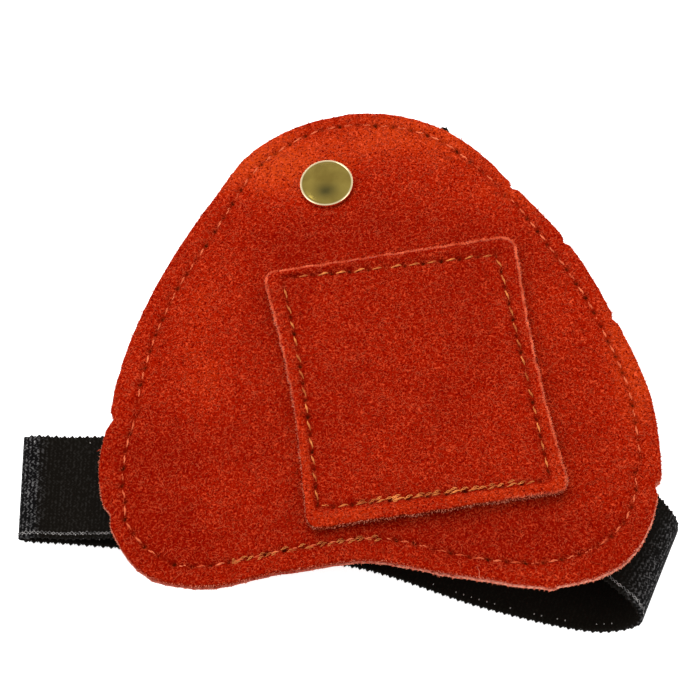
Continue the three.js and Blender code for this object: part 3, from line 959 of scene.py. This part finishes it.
# Each kind of fibre: its name, its paths, its thickness in millimetres and its finish
for name, paths, thickness, finish in (
    ("front_nap", tufts(front_ground, 9000, 66, 52, PAD_MIDDLE, under_patch), NAP_THICK, NAP_FIBRE),
    (
        "patch_nap",
        tufts(patch_ground, 3900, 30, 32, PATCH_MIDDLE, lambda spot: False),
        NAP_THICK,
        NAP_FIBRE,
    ),
    (
        "edge_fuzz",
        edge_fuzz(pad_columns, front_height, 2600, 0.45)
        + edge_fuzz(back_columns, back_height, 1400, 0.45)
        + edge_fuzz(patch_columns, patch_height, 2200, 0.5)
        + [loose_fibre],
        FUZZ_THICK,
        PALE_FIBRE,
    ),
    # Lighter fibres along the patch's rim, most along its top and sides: a painted highlight on the lit
    # fuzz
    (
        "patch_rim",
        rim_curls(
            patch_columns, patch_height, 1700, lambda way: 0.75 + 0.9 * way.y, 0.25, (0.02, 0.02)
        ),
        PATCH_RIM_THICK,
        RIM_FIBRE,
    ),
    # Pale fibres along the pad's rim, where the pale core, partly painted light, shows most
    (
        "pad_rim",
        rim_curls(back_columns, back_height, 1500, lambda way: paleness(way) ** 2, 0.06, (0.1, 0.8)),
        PAD_RIM_THICK,
        PALE_FIBRE,
    ),
):
    fibres = add_thread(name, paths, thickness, ON_PAD, finish, FIBRE_TAPER, 0)
    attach(fibres, "root")


# ---- Snap ----------------------------------------------------------------------------------------
# A stamped brass cap with a rolled rim, set through both layers near the top, and the plain disc that
# holds it at the back.

CAP_RADIUS = 5.1
DISC_RADIUS = 4.5
SNAP_SIDES = 96
SNAP_PLACE = Vector((-0.186 * HALF_WIDTH, 0.688 * HALF_LENGTH))


def snap_lie():
    """The snap's own frame. It is set a little less steep than the pad is there."""
    x, y = SNAP_PLACE
    across = (pad_dome(x + CAP_RADIUS, y) - pad_dome(x - CAP_RADIUS, y)) / (2 * CAP_RADIUS)
    along = (pad_dome(x, y + CAP_RADIUS) - pad_dome(x, y - CAP_RADIUS)) / (2 * CAP_RADIUS)
    out = Vector((-across, -0.67 * along, 1)).normalized()
    square = Vector((0, 0, 1)).rotation_difference(out).to_matrix().to_4x4()
    return Matrix.Translation((x, y, pad_dome(x, y))) @ square


def turned(name, profile, rim_from, reflection_depth):
    """A turned piece, from rows of radius and height that start and end on its axis. The attribute
    rim, which masks a painted highlight, rises to 1 past a radius, and a painted reflection rises to
    the given depth at a spot before its middle."""
    shape = bmesh.new()
    verts = [shape.verts.new((radius, 0, height)) for radius, height in profile]
    edges = [shape.edges.new(pair) for pair in zip(verts, verts[1:])]
    bmesh.ops.spin(
        shape, geom=verts + edges, cent=(0, 0, 0), axis=(0, 0, 1), angle=2 * math.pi,
        steps=SNAP_SIDES, use_merge=True,
    )
    bmesh.ops.remove_doubles(shape, verts=shape.verts, dist=1e-5)
    bmesh.ops.recalc_face_normals(shape, faces=shape.faces)
    rim = shape.verts.layers.float.new("rim")
    painted_reflection = shape.verts.layers.float.new("painted_reflection")
    for vert in shape.verts:
        # Where the painted highlight on the rim starts
        vert[rim] = clamp((vert.co.xy.length - rim_from) / 0.1)
        # A painted reflection: a dark spot on the face
        vert[painted_reflection] = reflection_depth * bell(vert.co.x, 1.9) * bell(vert.co.y + 2.0, 1.5)
    return to_mesh(name, shape)


BRASS_DARK = (0.3, 0.21, 0.045)
BRASS_LIGHT = (0.42, 0.31, 0.07)
BRASS_PAINTED_REFLECTION = (0.07, 0.065, 0.025)
BRASS_RIM_HIGHLIGHT = (1.0, 0.83, 0.5)


def brass_finish():
    """Stamped brass: an olive-gold face under old lacquer, with fine scratches and a dark painted
    reflection, and a rim painted pale and bright as a painted highlight."""
    finish = new_finish("brass", (0.3, 0.22, 0.06), 0.2, Metallic=1.0)
    nodes = FinishNodes(finish)
    cloud = nodes.mottle(230, 3)
    face = nodes.blend(nodes.fit(cloud, 0.35, 0.65), BRASS_DARK, BRASS_LIGHT)
    # The painted reflection darkens the face
    reflected = nodes.blend(nodes.times(nodes.attribute("painted_reflection"), cloud), face, BRASS_PAINTED_REFLECTION)
    # A painted highlight makes the rim pale and bright
    nodes.colour(nodes.blend(nodes.attribute("rim"), reflected, BRASS_RIM_HIGHLIGHT))
    scratches = nodes.fit(nodes.mottle(3000), 0, 1, 0.1, 0.3)
    nodes.feed([nodes.shader.inputs["Roughness"]], scratches)
    return finish


BRASS = brass_finish()
# Radius, as a share of the cap's, and height over the middle of the pad's thickness
CAP_PROFILE = [
    (0, 1.45), (0.94, 1.45), (0.99, 1.5), (1, 1.75), (1.005, 2.1), (0.998, 2.25), (0.98, 2.35),
    (0.96, 2.38), (0.945, 2.34), (0.93, 2.28), (0.915, 2.27), (0.87, 2.36), (0.8, 2.5), (0.7, 2.65),
    (0.6, 2.76), (0.5, 2.85), (0.4, 2.92), (0.3, 2.97), (0.2, 3.0), (0.1, 3.02), (0, 3.03),
]
snap_cap_brass = add_piece(
    "snap_cap_brass",
    turned("snap_cap_brass", [(CAP_RADIUS * x, z) for x, z in CAP_PROFILE], CAP_RADIUS * 0.92, 1.6),
    ON_PAD @ snap_lie(),
    BRASS,
)
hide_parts("snap_cap")
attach(snap_cap_brass, "root")

DISC_PROFILE = [
    (0, -3.6), (1.2, -3.6), (1.6, -3.35), (2.0, -3.6), (3.6, -3.75), (4.1, -3.7),
    (DISC_RADIUS, -3.3), (DISC_RADIUS, -2.75), (0, -2.75),
]
snap_disc_brass = add_piece(
    "snap_disc_brass",
    turned("snap_disc_brass", DISC_PROFILE, 2 * DISC_RADIUS, 0),
    ON_PAD @ snap_lie(),
    BRASS,
)
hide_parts("snap_back")
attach(snap_disc_brass, "root")


# ---- Strap and finger loop -----------------------------------------------------------------------
# Black woven elastic with scalloped edges. The strap is sewn under the left lobe, folds back, lies on
# the table, and rises in an open turn at the right to its other end under the right lobe.

STRAP_WIDTH = 19.2
STRAP_THICK = 1.3
LOOP_WIDTH = 10
LOOP_THICK = 1.0
BACK_PASSES = 4
SCALLOP = 1.52

# Stations: across and along as shares of half the pad's width and length, the height as a share of
# the pad's and in plies of the elastic, the direction of its width and how its far edge rises, in
# degrees, and how closely it is held to the pad's back
STRAP_WAY = [
    (-0.56, -0.53, 0.6, 1, 87, 0, 1),
    (-0.76, -0.52, 0.54, 1, 87, 0, 1),
    (-0.95, -0.505, 0.4, 1.3, 87, 0, 0.6),
    (-1.12, -0.49, 0.21, 1.5, 87, 0, 0),
    (-1.23, -0.48, 0.14, 1.5, 88.6, 0, 0),
    (-1.267, -0.478, 0.07, 1, 88.2, 0, 0),
    (-1.23, -0.479, 0, 0.5, 87.8, 0, 0),
    (-1.1, -0.487, 0, 0.5, 84, 0, 0),
    (-0.75, -0.517, 0, 0.5, 84, 0, 0),
    (-0.35, -0.54, 0, 0.5, 80, 0, 0),
    (0, -0.596, 0, 0.5, 74, 0, 0),
    (0.39, -0.737, 0, 0.5, 72, 0, 0),
    (0.62, -0.804, 0, 0.5, 72, 0, 0),
    (0.84, -0.86, 0.16, 0.5, 72, -8, 0),
    (0.965, -0.86, 0.48, 0.5, 70, -15, 0),
    (0.965, -0.822, 0.76, 0.5, 65, -14, 0),
    (0.9, -0.757, 0.97, 0.5, 57, -10, 0),
    (0.77, -0.647, 1.14, 0.5, 54, -4, 0.5),
    (0.62, -0.55, 1.24, 0.5, 54, 0, 1),
    (0.46, -0.43, 1.24, 0.5, 54, 0, 1),
]
LOOP_WAY = [
    (-0.3, 0.63, 0.5, 0, 115, 0, 1),
    (-0.186, 0.68, 0.5, 0, 115, 0, 1),
    (-0.1, 0.712, 0.46, 0, 115, 0, 1),
    (-0.065, 0.728, 0.16, 0.5, 115, 0, 0),
    (-0.025, 0.745, 0, 0.5, 115, 0, 0),
    (0.1, 0.795, 0, 0.5, 115, 0, 0),
    (0.15, 0.82, 0.16, 0.5, 115, 0, 0),
    (0.19, 0.838, 0.42, 0, 115, 0, 0.9),
    (0.287, 0.874, 0.42, 0, 115, 0, 1),
]


def curve_at(points, share, even_power):
    """A point on a smooth curve through points, for a share of the rows. The knots are spaced by the
    distance between points, to even_power."""
    last = len(points) - 1
    place = clamp(share) * last
    step = min(int(place), last - 1)
    part = place - step
    start, end = points[step], points[step + 1]
    before = points[step - 1] if step else start * 2 - end
    after = points[step + 2] if step + 2 <= last else end * 2 - start
    gap_in, gap, gap_out = (
        max((b - a).length, 1e-4) ** even_power
        for a, b in ((before, start), (start, end), (end, after))
    )
    rise_in, rise, rise_out = (start - before) / gap_in, (end - start) / gap, (after - end) / gap_out
    slope_in = (rise_in - (end - before) / (gap_in + gap) + rise) * gap
    slope_out = (rise - (after - start) / (gap + gap_out) + rise_out) * gap
    return eased(start, slope_in, end, slope_out, part)


FROM_TABLE = PAD_LIE.inverted()


def pad_back_over(x, y):
    """The height of the pad's back over a point of the table."""
    spot = Vector((x, y, PAD_PLACE[2]))
    for _ in range(BACK_PASSES):
        found = FROM_TABLE @ spot
        found.z = back_under(found.x, found.y)
        found = PAD_LIE @ found
        spot = Vector((spot.x + x - found.x, spot.y + y - found.y, found.z))
    return spot.z


def elastic_middle(way, width, thick, run, lane):
    """A point of the middle surface of an elastic: run along it and lane (-1 to 1) across it."""
    points = [
        Vector((row[0] * HALF_WIDTH, row[1] * HALF_LENGTH, row[2] * PAD_PLACE[2] + row[3] * thick))
        for row in way
    ]
    lies = [Vector(row[4:7]) for row in way]
    spot = curve_at(points, run, 0.5)
    turn, rise, held = curve_at(lies, run, 0)
    turn, rise = math.radians(turn), math.radians(rise)
    out = width / 2 * lane
    spot.x += out * math.cos(rise) * math.cos(turn) + PAD_PLACE[0]
    spot.y += out * math.cos(rise) * math.sin(turn) + PAD_PLACE[1]
    highest = pad_back_over(spot.x, spot.y) - CLEARANCE - thick / 2
    free = max(spot.z + out * math.sin(rise), thick / 2)
    held = clamp(held)
    spot.z = min(free, highest) * (1 - held) + highest * held
    return spot


ELASTIC_POINTS = 600
SCALLOP_STEPS = 6
SCALLOP_DEPTH = 0.48
BEND_SPAN = 12
NEAR = 0.002
LANES = [-1, -0.96, -0.8, -0.6, -0.4, -0.2, 0, 0.2, 0.4, 0.6, 0.8, 0.96, 1]
ELASTIC_RING = (
    [(lane, 1) for lane in LANES] + [(1.012, 0.45), (1.012, -0.45)]
    + [(lane, -1) for lane in reversed(LANES)] + [(-1.012, -0.45), (-1.012, 0.45)]
)


def elastic_mesh(name, way, width, thick):
    """Woven elastic: one long grid wrapped round its thickness, scalloped on both edges. The
    attributes along and across count millimetres, outer is 1 on the face outside its folds, and bent,
    which masks a painted sheen, is 1 where it is folded."""
    middles = [
        elastic_middle(way, width, thick, step / ELASTIC_POINTS, 0)
        for step in range(ELASTIC_POINTS + 1)
    ]
    frames, length = even_shares(middles, SCALLOP, SCALLOP_STEPS)
    count = len(frames) - 1
    shape = bmesh.new()
    bmesh.ops.create_grid(shape, x_segments=count, y_segments=len(ELASTIC_RING), size=0.5)
    along, across, outer, bent = (
        shape.verts.layers.float.new(layer) for layer in ("along", "across", "outer", "bent")
    )
    spots = {}
    for step, share in enumerate(frames):
        for lane in LANES:
            spot, ahead, behind, right, left = (
                elastic_middle(way, width, thick, share + forward, lane + sideways)
                for forward, sideways in ((0, 0), (NEAR, 0), (-NEAR, 0), (0, NEAR), (0, -NEAR))
            )
            out = (ahead - behind).cross(right - left).normalized()
            spots[step, lane] = (spot, out, (right - left).normalized())
    for vert in shape.verts:
        step = round((vert.co.x + 0.5) * count)
        lane, face = ELASTIC_RING[round((vert.co.y + 0.5) * len(ELASTIC_RING)) % len(ELASTIC_RING)]
        inner = clamp(lane, -1, 1)
        spot, out, sideways = spots[step, inner]
        scallop = SCALLOP_DEPTH * math.cos(2 * math.pi * step / SCALLOP_STEPS) - 0.12
        edge = max(0, (abs(lane) - 0.9) / 0.112)
        spot = spot + out * face * thick / 2 + sideways * math.copysign(scallop * edge, lane)
        if abs(lane) > 1:
            spot = spot + sideways * math.copysign(0.12, lane)
        vert.co = spot
        vert[along] = length * step / count
        vert[across] = (lane + 1) / 2 * width
        vert[outer] = 1 if face < 0 else 0
        # How sharply it turns there, which masks the painted sheen at the folds
        before, after = max(0, step - BEND_SPAN), min(count, step + BEND_SPAN)
        turn = (spots[after, inner][1] - spots[before, inner][1]).length
        vert[bent] = clamp(0.9 * turn - 0.25)
    bmesh.ops.remove_doubles(shape, verts=shape.verts, dist=1e-5)
    bmesh.ops.holes_fill(shape, edges=[edge for edge in shape.edges if edge.is_boundary], sides=0)
    bmesh.ops.recalc_face_normals(shape, faces=shape.faces)
    return to_mesh(name, shape), length, frames


COURSE_WIDTH = 0.55

# The dull shade and the painted highlight of the inner face, and of the painted sheen on the outer one
ELASTIC_SHADES = [
    ((0.0045, 0.0035, 0.0024), (0.008, 0.0068, 0.005)),
    ((0.0026, 0.0024, 0.0024), (0.12, 0.115, 0.115)),
]


def elastic_finish(name):
    """Black knitted elastic: rows of small slanted stitches along it, with painted grey highlights on
    them and a painted grey sheen on the outer face at its folds.
    """
    finish = new_finish(name, (0.006, 0.006, 0.0065), 0.8, Specular_IOR_Level=0.03)
    nodes = FinishNodes(finish)
    total, times = nodes.sum, nodes.times
    across = nodes.attribute("across")
    slant = times(total("PINGPONG", across, COURSE_WIDTH), 0.7)
    rib = times(total("ADD", nodes.attribute("along"), slant), 2 * math.pi / (SCALLOP / 2))
    break_up = total("ABSOLUTE", total("SINE", times(across, math.pi / COURSE_WIDTH)))
    dashes = times(total("SINE", rib), break_up)
    height = total("ADD", times(dashes, 0.2), times(nodes.mottle(1700), 1.3))
    # Painted sheen on the outer face: grey at the folds, and a little everywhere
    painted_fold_sheen = times(nodes.attribute("outer"), total("ADD", nodes.attribute("bent"), 0.05))
    # Painted highlights on the stitches
    inner, outer = (
        nodes.blend(nodes.fit(height, 0.66, 1), dull, lit) for dull, lit in ELASTIC_SHADES
    )
    nodes.colour(nodes.blend(painted_fold_sheen, inner, outer))
    nodes.bump(height, 0.00025, total("ADD", times(painted_fold_sheen, 0.4), 0.1))
    return finish


BLACK_ELASTIC = elastic_finish("elastic_black")
for name, node, way, width, thick in (
    ("strap_elastic", "strap", STRAP_WAY, STRAP_WIDTH, STRAP_THICK),
    ("finger_loop_elastic", "finger_loop", LOOP_WAY, LOOP_WIDTH, LOOP_THICK),
):
    mesh, length, frames = elastic_mesh(name, way, width, thick)
    elastic = add_piece(name, mesh, TO_METRES, BLACK_ELASTIC)
    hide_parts(node)
    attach(elastic, "root")
    if node == "strap":
        strap_frames = frames


# ---- Edge thread of the elastic ------------------------------------------------------------------
# A grey thread zigzags along the strap's near edge, and here and there the end of a rubber core
# shows between its loops as a pale dot: a painted glint.

EDGE_THREAD_THICK = 0.13
GLINT_THICK = 0.15

def strap_spot(share, lane, lift):
    """A point over the strap's outer face, in millimetres."""
    spot, ahead, right = (
        elastic_middle(STRAP_WAY, STRAP_WIDTH, STRAP_THICK, share + forward, lane + sideways)
        for forward, sideways in ((0, 0), (NEAR, 0), (0, NEAR))
    )
    return spot - (ahead - spot).cross(right - spot).normalized() * lift


def looks_up(share):
    """Whether the strap's outer face looks up there."""
    return strap_spot(share, -0.95, 1).z > strap_spot(share, -0.95, 0).z + 0.2


edge_paths, glint_paths = [], []
for step in range(6, len(strap_frames) - 12, 6):
    first, middle, after, beyond = (strap_frames[step + ahead] for ahead in (0, 3, 6, 8))
    if looks_up(first):
        bow = 0.05 + 0.03 * chance.random()
        for loop in (
            ((first, -0.995, 0.62), (middle, -0.995 + bow, 0.7), (after, -0.99, 0.62)),
            ((middle, -0.985, 0.68), (after, -0.94, 0.7), (beyond, -0.985, 0.66)),
        ):
            edge_paths.append([strap_spot(*point) for point in loop])
        # Pale ends of the rubber core, painted as glints
        for lane in (-1.0, 0.9):
            if chance.random() < 0.2:
                ends = ((first, lane, 0.6), (first, lane + 0.02, 0.68))
                glint_paths.append([strap_spot(*end) for end in ends])
    # More painted glints of the core's ends, where the outer face looks down
    elif chance.random() < (0.85 if 22 < strap_spot(first, 0, 0).x < 44 else 0.25):
        glint_paths.append([strap_spot(first, -0.92, -0.66), strap_spot(first, -0.94, -0.7)])
grey_edge = add_thread(
    "strap_edge_thread",
    edge_paths,
    EDGE_THREAD_THICK,
    TO_METRES,
    thread_finish("thread_grey", (0.36, 0.34, 0.33), (0.02, 0.02, 0.02), 700),
)
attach(grey_edge, "root")
rubber_glints = add_thread(
    "strap_rubber_glints",
    glint_paths,
    GLINT_THICK,
    TO_METRES,
    new_finish("rubber_glint_pale", (0.5, 0.48, 0.45), 0.7),
)
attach(rubber_glints, "root")
